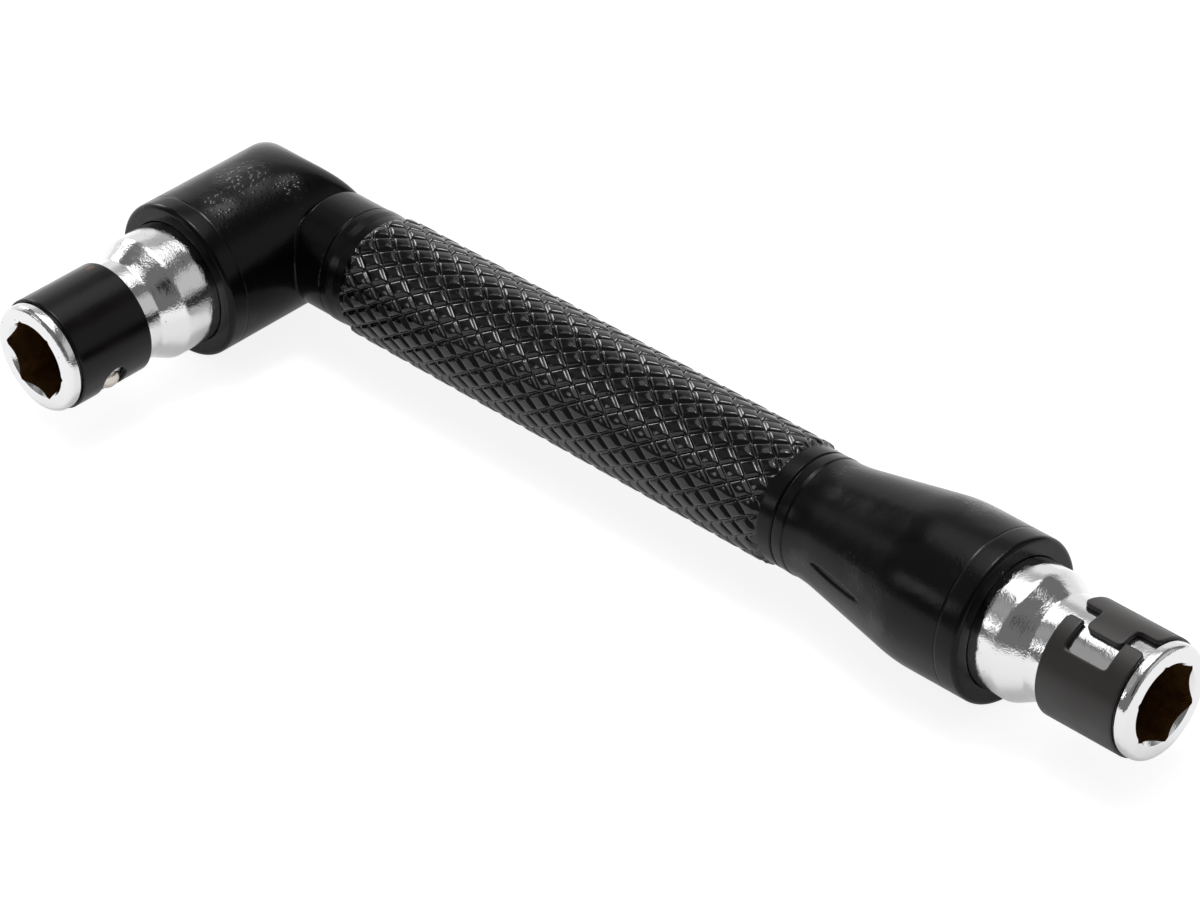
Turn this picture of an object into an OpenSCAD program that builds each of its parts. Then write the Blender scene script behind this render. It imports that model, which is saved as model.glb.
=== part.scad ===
// Offset screwdriver with a spring-held bit socket at each end.
// The long leg runs along X and its tail socket opens towards +X.
// The short leg crosses its other end at a right angle and opens towards -Y.
// The origin lies under the middle of the tool, level with the two housings' lowest line.

/* [Bit hole] */
// Width across the flats of the hexagonal bit hole
hex_af = 6.4; // [5:0.05:7.2]
// Depth of the hexagonal hole from the socket's front face
hex_depth = 12.5; // [9:0.1:13]
// Depth of the drilled relief past the end of the hexagon
drill_depth = 1; // [0.2:0.1:1.5]
// Widening of the hole's flats at its mouth
lead_in = 0.32; // [0.1:0.01:0.45]
// Turn of the head's hexagon about its own axis
head_turn = -6.3; // [-30:0.1:30]
// Turn of the tail's hexagon about its own axis
tail_turn = -88.2; // [-120:0.1:0]

/* [Sockets] */
// How far a socket stands out of its housing
socket_reach = 15.2; // [12.4:0.1:20]
// Wall between the hexagon's flats and the seat of the spring band
socket_wall = 1.44; // [1.2:0.01:1.8]
// Height of the chrome collar above the band's seat
collar_rise = 1.05; // [0.6:0.05:1.4]
// Share of the socket's reach that the chrome collar takes
collar_share = 0.27; // [0.2:0.01:0.29]
// Rounding of the collar's shoulder
collar_round = 1; // [0.3:0.05:1.2]
// Fillet between the collar and the waist
waist_fillet = 0.7; // [0.3:0.05:1]
// Height of the front rim above the band's seat
rim_rise = 0.3; // [0.2:0.02:0.5]
// Width of the front rim
rim_w = 1.05; // [0.8:0.05:1.5]
// Rounding of the front rim's outer edge
rim_round = 0.5; // [0.2:0.05:0.7]
// Height of the pressed shank above the band's seat
shank_rise = 0.26; // [0.1:0.02:0.5]
// Length of the pressed shank below the recess
shank_length = 9.7; // [6:0.1:10.5]

/* [Spring bands] */
// Share of the socket's reach that a spring band covers
band_share = 0.5; // [0.46:0.01:0.52]
// Thickness of the spring strip
band_t = 0.48; // [0.3:0.02:0.6]
// Free play between a band and its seat
band_play = 0.02; // [0.01:0.01:0.04]
// Gap between the band and the front rim
band_gap = 0.15; // [0.1:0.01:0.3]
// How far the head's band has crept round from its ball
head_creep = -1.2; // [-8:0.1:8]
// How far the tail's band has crept round from its ball
tail_creep = 6.7; // [-8:0.1:8]
// Angle round the strip to the middle of the window
window_angle = -60; // [-64:0.5:-56]
// Angle round the strip to the root of the tab
root_angle = 134.5; // [125:0.5:142]
// Angle round the strip to the ends of the fork
fork_angle = 154; // [149:0.5:158]
// Angle round the strip to the tip of the tab
tab_angle = 160; // [155:0.5:168]
// Angle round the strip to the bottom of the fork
bottom_angle = 185.5; // [176:0.5:192]
// Rounding of the strip's corners
corner_round = 0.5; // [0.2:0.05:0.7]

/* [Detent balls] */
// Diameter of a detent ball
ball_d = 2.4; // [2:0.1:2.6]
// How far a ball stands out of the hexagon's flat
ball_proud = 0.3; // [0.2:0.02:0.4]
// Free play of a ball in its hole
ball_play = 0.03; // [0.02:0.01:0.06]
// Free play of a ball in the band's window
window_play = 0.08; // [0.05:0.01:0.15]
// Extra length of the window round the band
window_run = 2.2; // [1.8:0.1:2.6]

/* [Handle] */
// Diameter of the head and of the tail housing
housing_d = 14.5; // [13.4:0.1:17]
// Distance from the long leg's axis to the head's end face
head_reach = 12.6; // [11.7:0.1:18]
// How much less deep the head's socket is pressed in than the tail's
head_standoff = 0.9; // [0:0.1:1.1]
// Distance from the long leg's axis to the crown of the head's back
back_reach = 4.8; // [3:0.1:6]
// Radius of the head's rounded back
back_r = 8; // [7.4:0.1:12]
// Rounding of the back's two outer corners
back_round = 1.3; // [0.5:0.1:2]
// Distance from the head's axis to the tail's end face
tail_reach = 85.5; // [80:0.5:120]
// Rounding of the housings' end edges
edge_round = 0.5; // [0.2:0.1:1]
// Depth of the counterbore that takes the foot of the tail's chrome collar
recess_depth = 1.2; // [1.1:0.1:1.6]
// Free ring round the foot of each chrome collar
recess_gap = 0.06; // [0.04:0.01:0.3]
// Diameter of the smooth bands beside the grip
neck_d = 10.5; // [9.6:0.1:12]
// Length of the flare up to the tail housing
flare_length = 11; // [8:0.5:14]
// Length of the plain tail housing past the flare
tail_length = 7.8; // [4:0.1:12]
// Radius of the curves that blend the flare
flare_blend = 15; // [5:1:25]
// Distance of the head's scribed line from its end face
head_line = 1.8; // [1:0.1:3]
// Distance of the tail's scribed line from its end face
tail_line = 2.1; // [1.2:0.1:4]
// Distance of the scribed line before the grip from the head's axis
collar_line = 10.3; // [9.5:0.1:12]
// Distance of the scribed line before the flare from the flare
flare_line = 2.7; // [1:0.1:3.5]
// Width of a scribed line
line_w = 0.3; // [0.15:0.05:0.5]
// Depth of a scribed line
line_depth = 0.12; // [0.05:0.01:0.2]

/* [Knurled grip] */
// Distance from the head's axis to the start of the knurl
grip_start = 13.1; // [12.6:0.1:16]
// Height of the diamonds' tops above the smooth bands
grip_rise = 0.28; // [0.2:0.02:0.5]
// Depth of the grooves between the diamonds
groove_depth = 0.2; // [0.1:0.01:0.3]
// Plain length between the end of the knurl and the flare
grip_end_gap = 4.4; // [3.8:0.1:8]
// Number of diamonds round the grip
diamonds_around = 18; // [12:1:24]
// Number of half diamonds along the grip
half_rows = 35; // [20:1:44]
// Share of a diamond that its flat top takes
top_share = 0.66; // [0.4:0.02:0.8]

/* [Hidden] */
$fn = 96;
overrun = 0.4;
hex_sides = 6;
flat_turn = 180 / hex_sides;
flat_r = hex_af / 2;
corner_r = flat_r / cos(flat_turn);
seat_r = flat_r + socket_wall;
collar_r = seat_r + collar_rise;
rim_r = seat_r + rim_rise;
shank_r = seat_r + shank_rise;
band_seat_r = seat_r + band_play;
band_r = band_seat_r + band_t;
collar_reach = collar_share * socket_reach;
band_w = band_share * socket_reach;
rim_start = socket_reach - rim_w;
band_end = rim_start - band_gap;
band_start = band_end - band_w;
bore_bottom = -recess_depth - shank_length;
// Shares of the band's width, from its back edge: the tab, the fork's recess and the window's middle
tab_shares = [0.263, 0.73];
recess_shares = [0.197, 0.75];
window_share = 0.52;
// Radius of the window's ends as a share of its width
window_end_share = 0.53;
ball_r = ball_d / 2;
ball_seat_r = flat_r - ball_proud + ball_r;
ball_station = band_start + window_share * band_w;
// Half width that the ball has where it passes the inside of the band
ball_half_w = sqrt(ball_r * ball_r - (seat_r - ball_seat_r) * (seat_r - ball_seat_r));
window_w = 2 * (ball_half_w + window_play);
// Half width that the ball has where it passes the hexagon's flat, and the seat that holds it there
seat_mouth_r = sqrt(ball_r * ball_r - (ball_r - ball_proud) * (ball_r - ball_proud)) + 1.5 * ball_play;
ball_hole_r = ball_r + ball_play;
housing_r = housing_d / 2;
neck_r = neck_d / 2;
// The neck grows out of the head just inside the head's rounded corner
neck_start = housing_r - back_round;
flare_end = tail_reach - tail_length;
flare_start = flare_end - flare_length;
flare_angle = atan((housing_r - neck_r) / flare_length);
blend_run = flare_blend * tan(flare_angle / 2);
blend_steps = 4;
grip_length = flare_start - grip_end_gap - grip_start;
row_pitch = grip_length / half_rows;
column_turn = 180 / diamonds_around;
top_r = neck_r + grip_rise;
floor_r = top_r - groove_depth;
middle_x = (tail_reach + socket_reach - housing_r) / 2;
middle_y = (housing_r - head_reach - head_standoff - socket_reach) / 2;

// Moves the tool from its two axes' crossing to the origin under its middle
module seated() {
    translate([-middle_x, -middle_y, housing_r]) children();
}

// Stands a piece on the head's axis, with Z pointing out of the head's end face
module at_head() {
    seated() translate([0, -head_reach, 0]) rotate([90, 0, 0]) children();
}

// Stands a piece of the head's socket where the socket is pressed in
module at_head_socket() {
    at_head() translate([0, 0, head_standoff]) children();
}

// Stands a piece on the tail's axis, with Z pointing out of the tail's end face
module at_tail() {
    seated() translate([tail_reach, 0, 0]) rotate([90, 0, 90]) children();
}

// Area between a square corner at the origin and a round tangent to both its sides
module spandrel(r) {
    difference() {
        square(r);
        translate([r, r]) circle(r);
    }
}

// Cutter outside a rounded corner at (x, y) of a revolved outline, one step past the corner
module corner_cut(x, y, r) {
    translate([x, y]) mirror([1, 0]) mirror([0, 1]) {
        spandrel(r);
        translate([-overrun, -overrun]) square([r + overrun, overrun]);
        translate([-overrun, -overrun]) square([overrun, r + overrun]);
    }
}

// Bore of a housing for the socket's shank, with the counterbore for the collar's foot
module socket_bore() {
    translate([0, 0, bore_bottom]) cylinder(h = shank_length + recess_depth + overrun, r = shank_r);
    translate([0, 0, -recess_depth]) cylinder(h = recess_depth + overrun, r = collar_r + recess_gap);
}

// Cutter that rounds the outer edge of a housing's end face
module end_round() {
    rotate_extrude() corner_cut(housing_r, 0, edge_round);
}

// Scribed line: a shallow groove with sloping sides round a cylinder of radius r
module scribed_line(r) {
    rotate_extrude() polygon([
        [r - line_depth, 0],
        [r + line_depth, line_w],
        [r + line_depth, -line_w]
    ]);
}

// Points of an arc from angle a to angle b about (x, y)
function arc(x, y, r, a, b) = [
    for (i = [0:blend_steps]) let (t = a + (b - a) * i / blend_steps) [x + r * cos(t), y + r * sin(t)]
];

// Long leg behind the grip: smooth band, blended flare and tail housing
module flare() {
    rotate_extrude() polygon(concat(
        [[0, grip_start + grip_length - overrun], [neck_r, grip_start + grip_length - overrun]],
        arc(neck_r + flare_blend, flare_start - blend_run, flare_blend, 180, 180 - flare_angle),
        arc(housing_r - flare_blend, flare_end + blend_run, flare_blend, -flare_angle, 0),
        [[housing_r, tail_reach], [0, tail_reach]]
    ));
}

// Place on the grip at lattice row j and column k, pushed dx rows and dk columns on, at radius r
function on_grip(j, k, dx, dk, r) = let (
    z = grip_start + row_pitch * min(max(j + dx, 0), half_rows),
    a = (k + dk) * column_turn
) [r * cos(a), r * sin(a), z];

// Numbers of the lattice's points: one per crossing of two grooves, four per diamond
columns = 2 * diamonds_around;
crossings = (half_rows + 1) * diamonds_around;
function cell(j, k) = j * diamonds_around + floor(((k + columns) % columns) / 2);
function top_corner(j, k, i) = crossings + 4 * cell(j, k) + i;

// Side of a diamond from crossings a and b up to the top's corners c and d
function side(a, b, c, d) = [[a, b, c], [a, c, d]];

// Faces of the diamond at row j and column k. The end rows hold half diamonds.
function diamond(j, k) = let (
    left = top_corner(j, k, 0),
    right = top_corner(j, k, 1),
    low = top_corner(j, k, 2),
    high = top_corner(j, k, 3),
    below = cell(j, k - 1),
    above = cell(j, k + 1),
    first = j == 0,
    last = j == half_rows
) concat(
    [[left, low, right], [left, right, high]],
    first ? [] : side(cell(j - 1, k), below, low, left),
    first ? [] : side(above, cell(j - 1, k), left, high),
    last ? [] : side(below, cell(j + 1, k), right, low),
    last ? [] : side(cell(j + 1, k), above, high, right)
);

// Rim of the grip's flat end at row j, with the middle corner of each half diamond's top
function end_rim(j, corner) = [
    for (i = [0:diamonds_around - 1]) let (k = 2 * i + (j + 1) % 2)
        each [cell(j, k - 1), top_corner(j, k, 2), top_corner(j, k, corner), top_corner(j, k, 3)]
];
function backwards(list) = [for (i = [len(list) - 1:-1:0]) list[i]];

// Triangles from a middle point to each side of a rim
function fan(rim, middle) = [for (i = [0:len(rim) - 1]) [middle, rim[i], rim[(i + 1) % len(rim)]]];

// Knurled grip: diamonds with flat tops between two families of crossing grooves
module grip() {
    reach = top_share;
    points = concat(
        [for (j = [0:half_rows], i = [0:diamonds_around - 1]) on_grip(j, 2 * i + j % 2, 0, 0, floor_r)],
        [
            for (j = [0:half_rows], i = [0:diamonds_around - 1]) let (k = 2 * i + (j + 1) % 2)
                each [
                    on_grip(j, k, -reach, 0, top_r),
                    on_grip(j, k, reach, 0, top_r),
                    on_grip(j, k, 0, -reach, top_r),
                    on_grip(j, k, 0, reach, top_r)
                ]
        ],
        [on_grip(0, 0, 0, 0, 0), on_grip(half_rows, 0, 0, 0, 0)]
    );
    faces = concat(
        [for (j = [0:half_rows], i = [0:diamonds_around - 1]) each diamond(j, 2 * i + (j + 1) % 2)],
        fan(end_rim(0, 0), len(points) - 2),
        fan(backwards(end_rim(half_rows, 1)), len(points) - 1)
    );
    polyhedron(points = points, faces = faces);
}

// Head: a round bar along Y whose back is turned over along X and softened at its two corners
module head() {
    intersection() {
        translate([0, -head_reach, 0]) rotate([-90, 0, 0]) cylinder(h = head_reach + back_reach + overrun, r = housing_r);
        union() {
            translate([0, back_reach - back_r, 0]) rotate([0, 90, 0]) cylinder(h = 2 * housing_d, r = back_r, center = true);
            translate([-housing_d, -head_reach - overrun, -housing_d])
                cube([2 * housing_d, head_reach + overrun + back_reach - back_r, 2 * housing_d]);
        }
        translate([0, 0, -housing_d]) linear_extrude(2 * housing_d) difference() {
            translate([-housing_r, -head_reach - overrun]) square([housing_d, head_reach + overrun + back_reach]);
            corner_cut(housing_r, back_reach, back_round);
            mirror([1, 0]) corner_cut(housing_r, back_reach, back_round);
        }
    }
}

// One-piece cast handle, painted black
module handle() {
    color([0.1, 0.1, 0.11]) difference() {
        union() {
            seated() head();
            seated() rotate([90, 0, 90]) {
                translate([0, 0, neck_start])
                    rotate([0, 0, column_turn / 4]) cylinder(h = grip_start - neck_start + overrun, r = neck_r);
                grip();
                rotate([0, 0, column_turn / 4]) flare();
            }
        }
        at_head_socket() socket_bore();
        at_head() end_round();
        at_head() translate([0, 0, -head_line]) scribed_line(housing_r);
        at_tail() socket_bore();
        at_tail() end_round();
        at_tail() translate([0, 0, -tail_line]) scribed_line(housing_r);
        seated() rotate([90, 0, 90]) translate([0, 0, collar_line]) scribed_line(neck_r);
        seated() rotate([90, 0, 90]) translate([0, 0, flare_start - flare_line]) scribed_line(neck_r);
    }
}

// Outline of a bit socket, from the shank in the housing to the front rim
module socket_outline() {
    difference() {
        union() {
            polygon([
                [0, bore_bottom],
                [shank_r, bore_bottom],
                [shank_r, -recess_depth],
                [collar_r, -recess_depth],
                [collar_r, collar_reach],
                [seat_r, collar_reach],
                [seat_r, rim_start],
                [rim_r, rim_start],
                [rim_r, socket_reach],
                [0, socket_reach]
            ]);
            translate([seat_r, collar_reach]) spandrel(waist_fillet);
        }
        corner_cut(collar_r, collar_reach, collar_round);
        corner_cut(rim_r, socket_reach, rim_round);
    }
}

// Hole for a detent ball, along X: a coned seat that keeps the ball out of the bit hole, then a plain bore
module ball_hole() {
    rise = ball_hole_r - seat_mouth_r;
    rotate([0, 90, 0]) {
        translate([0, 0, flat_r]) cylinder(h = rise, r1 = seat_mouth_r, r2 = ball_hole_r);
        translate([0, 0, flat_r + rise]) cylinder(h = socket_wall + overrun, r = ball_hole_r);
        translate([0, 0, flat_r - overrun]) cylinder(h = 2 * overrun, r = seat_mouth_r);
    }
}

// Bit socket, chrome-plated, with its hexagonal hole turned to the given angle
module socket(turn) {
    color([0.8, 0.81, 0.83]) difference() {
        rotate_extrude() socket_outline();
        rotate([0, 0, turn]) {
            translate([0, 0, socket_reach - hex_depth])
                linear_extrude(hex_depth + overrun) circle(r = corner_r, $fn = hex_sides);
            translate([0, 0, ball_station]) rotate([0, 0, -flat_turn]) ball_hole();
        }
        translate([0, 0, socket_reach - lead_in])
            cylinder(h = lead_in + overrun, r1 = flat_r, r2 = flat_r + lead_in + overrun);
        translate([0, 0, socket_reach - hex_depth - drill_depth])
            cylinder(h = drill_depth + overrun, r = flat_r - overrun / 2);
    }
}

// Block of the strip between two angles and two stations, as a revolved sector
module sector(from_turn, to_turn, low, high, inner, outer) {
    rotate_extrude(angle = to_turn - from_turn, start = from_turn)
        translate([inner, low]) square([outer - inner, high - low]);
}

// Cutter for a rounded corner of the strip at an angle and a station, seen from outside the band
module strip_corner(turn, station, side_x, side_y) {
    rotate([0, 0, turn]) translate([band_seat_r - overrun, 0, station]) rotate([90, 0, 90])
        linear_extrude(band_t + 2 * overrun) mirror([side_x > 0 ? 1 : 0, 0]) mirror([0, side_y > 0 ? 1 : 0]) {
            spandrel(corner_round);
            translate([-overrun, -overrun]) square([corner_round + overrun, overrun]);
            translate([-overrun, -overrun]) square([overrun, corner_round + overrun]);
        }
}

// Window of a spring band: a slot whose ends are a little flatter than a half circle
module window_outline() {
    end_r = window_w * window_end_share;
    intersection() {
        square([window_run + window_w, window_w], center = true);
        union() {
            for (end = [-1, 1]) translate([end * ((window_run + window_w) / 2 - end_r), 0]) circle(end_r);
            square([window_run + window_w - 2 * end_r, 2 * window_w], center = true);
        }
    }
}

// Rolled spring band: a tab at one end lies in the fork of the other, and a window holds the ball
module sleeve(turn) {
    tab_low = band_start + tab_shares[0] * band_w;
    tab_high = band_start + tab_shares[1] * band_w;
    recess_low = band_start + recess_shares[0] * band_w;
    recess_high = band_start + recess_shares[1] * band_w;
    inner = band_seat_r - overrun;
    outer = band_r + overrun;
    color([0.2, 0.2, 0.21]) rotate([0, 0, turn - window_angle]) difference() {
        union() {
            difference() {
                rotate_extrude() difference() {
                    translate([band_seat_r, band_start]) square([band_t, band_w]);
                    mirror([0, 1]) corner_cut(band_r, -band_start, band_t * 0.8);
                    corner_cut(band_r, band_end, band_t / 2);
                }
                union() {
                    sector(root_angle, fork_angle, band_start - overrun, band_end + overrun, inner, outer);
                    sector(fork_angle - 1, bottom_angle, recess_low, recess_high, inner, outer);
                    for (edge = [[band_start, -1], [recess_low, 1], [recess_high, -1], [band_end, 1]])
                        strip_corner(fork_angle, edge[0], -1, edge[1]);
                }
            }
            sector(root_angle - 1, tab_angle, tab_low, tab_high, band_seat_r, band_r);
        }
        strip_corner(tab_angle, tab_low, 1, -1);
        strip_corner(tab_angle, tab_high, 1, 1);
        rotate([0, 0, window_angle]) translate([0, 0, ball_station]) rotate([90, 0, 90]) translate([0, 0, inner])
            linear_extrude(band_t + 2 * overrun) window_outline();
    }
}

// Detent ball at rest in its seat
module ball(turn) {
    color([0.75, 0.76, 0.78]) rotate([0, 0, turn - flat_turn]) translate([ball_seat_r, 0, ball_station]) sphere(ball_r);
}

module head_socket() {
    at_head_socket() socket(head_turn);
}

module tail_socket() {
    at_tail() socket(tail_turn);
}

module head_sleeve() {
    at_head_socket() sleeve(head_turn - flat_turn + head_creep);
}

module tail_sleeve() {
    at_tail() sleeve(tail_turn - flat_turn + tail_creep);
}

module head_ball() {
    at_head_socket() ball(head_turn);
}

module tail_ball() {
    at_tail() ball(tail_turn);
}

handle();
head_socket();
tail_socket();
head_sleeve();
tail_sleeve();
head_ball();
tail_ball();
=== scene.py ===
import math
import bpy
import bmesh
import numpy as np
from mathutils import Matrix, Vector


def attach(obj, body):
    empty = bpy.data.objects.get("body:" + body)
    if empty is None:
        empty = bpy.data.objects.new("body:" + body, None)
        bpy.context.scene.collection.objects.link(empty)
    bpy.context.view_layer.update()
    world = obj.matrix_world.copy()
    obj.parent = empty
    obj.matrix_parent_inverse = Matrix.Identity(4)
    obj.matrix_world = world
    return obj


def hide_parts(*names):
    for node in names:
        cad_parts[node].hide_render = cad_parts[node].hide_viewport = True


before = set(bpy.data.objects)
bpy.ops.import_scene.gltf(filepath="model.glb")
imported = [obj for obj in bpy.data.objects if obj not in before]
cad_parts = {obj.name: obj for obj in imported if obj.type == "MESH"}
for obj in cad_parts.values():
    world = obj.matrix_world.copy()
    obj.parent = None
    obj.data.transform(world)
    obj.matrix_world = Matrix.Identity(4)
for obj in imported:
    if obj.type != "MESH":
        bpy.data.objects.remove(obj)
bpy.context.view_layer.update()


# Studio and camera
# The tool lies on a white paper sweep under a round softbox, whose flash tube shows through it. A second
# softbox stands at the left and a strip at the front left, with a white wall behind and a grey one at the
# right. The rest of the room is dark, so that chrome and black paint have both to reflect.
# Millimetres in a metre, and the crossing of the two legs' axes in the frame
metre = 1000.0
legs_cross = np.array([-46.725, 10.725, 7.25])


def place(points):
    """Points in millimetres from the crossing of the two legs' axes, as metres in the frame."""
    return (np.asarray(points, float) + legs_cross) / metre


def linear(code):
    """Colour from an sRGB hex code."""
    shares = [int(code[i:i + 2], 16) / 255 for i in (1, 3, 5)]
    return [s / 12.92 if s <= 0.04045 else ((s + 0.055) / 1.055) ** 2.4 for s in shares] + [1]


def add(tree, kind, links=None, **settings):
    """Adds a node to a tree with its settings, and its inputs as values or as sockets to link.

    Inputs go by name or by number. Numbers 1 to 4 of a Map Range are the low and the high that it reads,
    then the low and the high that it gives. Numbers 6 and 7 of a colour Mix are its two colours.
    """
    made = tree.nodes.new(kind)
    for name, value in settings.items():
        setattr(made, name, value)
    for key, value in (links or {}).items():
        if isinstance(value, bpy.types.NodeSocket):
            tree.links.new(value, made.inputs[key])
        else:
            made.inputs[key].default_value = value
    return made


# The camera stands at a bearing and a height above a point on the tool, at a reach in millimetres. Its focal
# length and its optical centre are in pixels of the picture, which is 1200 by 900
camera_azimuth, camera_elevation, camera_roll = np.radians([47.35, 35.856, -3.123])
camera_reach = 419.027
view_centre = np.array([42.0, -8.0, 0.0])
focal_pixels, centre_x, centre_y = 5083.383, 553.131, 448.263
picture_width, picture_height, sensor_width = 1200, 900, 36
back = np.array([np.sin(camera_azimuth) * np.cos(camera_elevation),
                 -np.cos(camera_azimuth) * np.cos(camera_elevation), np.sin(camera_elevation)])
level = np.array([np.cos(camera_azimuth), np.sin(camera_azimuth), 0])
rise = np.cross(back, level)
right = np.cos(camera_roll) * level + np.sin(camera_roll) * rise
up = -np.sin(camera_roll) * level + np.cos(camera_roll) * rise
spot = place(view_centre + camera_reach * back)
camera = bpy.data.objects.new("camera", bpy.data.cameras.new("camera"))
camera.data.sensor_width = sensor_width
camera.data.lens = focal_pixels / picture_width * sensor_width
camera.data.shift_x = (picture_width / 2 - centre_x) / picture_width
camera.data.shift_y = (centre_y - picture_height / 2) / picture_width
camera.data.clip_start = 0.01
camera.matrix_world = Matrix([[*row] for row in np.column_stack([right, up, back, spot])] + [[0, 0, 0, 1]])
bpy.context.scene.collection.objects.link(camera)
bpy.context.scene.camera = camera
bpy.context.scene.view_settings.view_transform = "Standard"

sweep_half = 1.5
sweep_corners = [(x * sweep_half, y * sweep_half, 0) for x, y in ((-1, -1), (1, -1), (1, 1), (-1, 1))]
sheet_mesh = bpy.data.meshes.new("sweep")
sheet_mesh.from_pydata(sweep_corners, [], [(0, 1, 2, 3)])
sheet = bpy.data.objects.new("sweep", sheet_mesh)
bpy.context.scene.collection.objects.link(sheet)
# White paper sweep: the eye and the mirrors see it lifted to white, and it keeps the tool's faint shadow
lift_in_mirrors, lift_to_the_eye = 0.38, 0.87
paper = bpy.data.materials.new("white paper sweep")
paper.use_nodes = True
tree = paper.node_tree
tree.nodes.clear()
seen = add(tree, "ShaderNodeLightPath").outputs
mirrored = add(tree, "ShaderNodeMath", {
    0: seen["Is Glossy Ray"], 1: seen["Is Transmission Ray"]}).outputs[0]
lift = add(tree, "ShaderNodeMath", {0: mirrored, 1: lift_in_mirrors}, operation="MULTIPLY").outputs[0]
lift = add(tree, "ShaderNodeMath", {0: seen["Is Camera Ray"], 1: lift_to_the_eye, 2: lift},
           operation="MULTIPLY_ADD").outputs[0]
tone = add(tree, "ShaderNodeMix", {0: seen["Is Camera Ray"], 6: linear("#ededed"), 7: linear("#9a9a9a")},
           data_type="RGBA")
plain = add(tree, "ShaderNodeBsdfDiffuse", {"Color": tone.outputs[2]})
glow = add(tree, "ShaderNodeEmission", {"Color": [1, 1, 1, 1], "Strength": lift})
lifted = add(tree, "ShaderNodeAddShader", {0: plain.outputs[0], 1: glow.outputs[0]})
add(tree, "ShaderNodeOutputMaterial", {"Surface": lifted.outputs[0]})
sheet_mesh.materials.append(paper)

# Room: each wall is a soft-edged patch of the world, as (azimuth, half width, elevation, half height,
# strength, softness), angles in degrees. The screen in front takes light away
room_walls = {
    "back wall": (147, 60, 6, 25, 0.93, 4),
    "back wall's top": (128, 26, 40, 11, 0.36, 4),
    "right wall": (33, 30, 24, 17, 0.45, 5),
    "front left cloth": (222, 20, 43, 13, 0.2, 5),
    "dark screen in front": (317, 13, 33, 13, -0.17, 5),
}
room_dark = 0.19
world = bpy.data.worlds.new("studio room")
bpy.context.scene.world = world
world.use_nodes = True
tree = world.node_tree
tree.nodes.clear()
way = add(tree, "ShaderNodeSeparateXYZ", {0: add(tree, "ShaderNodeTexCoord").outputs["Generated"]}).outputs
heading = add(tree, "ShaderNodeMath", {0: way["Y"], 1: way["X"]}, operation="ARCTAN2").outputs[0]
height = add(tree, "ShaderNodeMath", {0: way["Z"]}, operation="ARCSINE").outputs[0]
strength = room_dark
wall_shares = {}
for name, (azimuth, half_width, elevation, half_height, wall_strength, softness) in room_walls.items():
    turned = add(tree, "ShaderNodeMath", {0: heading, 1: math.radians(azimuth)}, operation="SUBTRACT")
    wrapped = add(tree, "ShaderNodeMath", {0: turned.outputs[0], 1: math.pi, 2: -math.pi}, operation="WRAP")
    aside = add(tree, "ShaderNodeMath", {0: wrapped.outputs[0]}, operation="ABSOLUTE").outputs[0]
    lifted_by = add(tree, "ShaderNodeMath", {0: height, 1: math.radians(elevation)}, operation="SUBTRACT")
    above = add(tree, "ShaderNodeMath", {0: lifted_by.outputs[0]}, operation="ABSOLUTE").outputs[0]
    soft = math.radians(softness)
    shares = [
        add(tree, "ShaderNodeMapRange", {0: far, 1: math.radians(half) - soft, 2: math.radians(half) + soft,
                                         3: 1.0, 4: 0.0}, interpolation_type="SMOOTHSTEP").outputs[0]
        for far, half in ((aside, half_width), (above, half_height))]
    share = add(tree, "ShaderNodeMath", {0: shares[0], 1: shares[1]}, operation="MULTIPLY").outputs[0]
    strength = add(tree, "ShaderNodeMath", {0: share, 1: wall_strength, 2: strength},
                   operation="MULTIPLY_ADD").outputs[0]
    wall_shares[name] = share
seen = add(tree, "ShaderNodeLightPath").outputs
mirrored = add(tree, "ShaderNodeMath", {
    0: seen["Is Glossy Ray"], 1: seen["Is Transmission Ray"]}).outputs[0]
backdrop = add(tree, "ShaderNodeMath", {0: mirrored, 1: wall_shares["back wall"], 2: seen["Is Camera Ray"]},
               operation="MULTIPLY_ADD", use_clamp=True).outputs[0]
room = add(tree, "ShaderNodeBackground", {"Color": [1, 1, 1, 1], "Strength": strength})
clear = add(tree, "ShaderNodeBackground", {"Color": [1, 1, 1, 1], "Strength": 1.0})
mixed = add(tree, "ShaderNodeMixShader", {0: backdrop, 1: room.outputs[0], 2: clear.outputs[0]})
add(tree, "ShaderNodeOutputWorld", {"Surface": mixed.outputs[0]})

# Lamps, in metres and watts, each turned to the middle of the sweep
for name, shape, spot, width, depth, power in (
    ("overhead softbox", "DISK", (-0.13, 0.13, 0.87), 0.86, 0.86, 2.6),
    ("flash tube in the softbox", "DISK", (-0.129, 0.129, 0.863), 0.24, 0.24, 2.2),
    ("left softbox", "RECTANGLE", (-0.84, 0.15, 0.39), 0.24, 0.24, 1.5),
    ("front left strip", "RECTANGLE", (-0.47, -0.69, 0.33), 0.12, 0.20, 0.2),
):
    lamp = bpy.data.lights.new(name, "AREA")
    lamp.shape = shape
    lamp.size, lamp.size_y = width, depth
    lamp.energy = power
    softbox = bpy.data.objects.new(name, lamp)
    aim = Vector(spot).to_track_quat("Z", "Y").to_matrix().to_4x4()
    softbox.matrix_world = Matrix.Translation(spot) @ aim
    bpy.context.scene.collection.objects.link(softbox)


# Head of the handle
# One end of the zinc die casting, under black spray paint: a round bar across the long leg, its back turned
# over in the mould. The end is faced off and bored for the bit socket, with a scribed line behind the face.
def meet(a, b, r):
    """Field of what two fields have in common, its edge rounded to radius r."""
    u, v = np.maximum(a + r, 0), np.maximum(b + r, 0)
    return np.minimum(np.maximum(a, b), -r) + np.hypot(u, v)


def join(a, b, r):
    """Field of two fields together, with a fillet of radius r in the corner."""
    return -meet(-a, -b, r)


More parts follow.
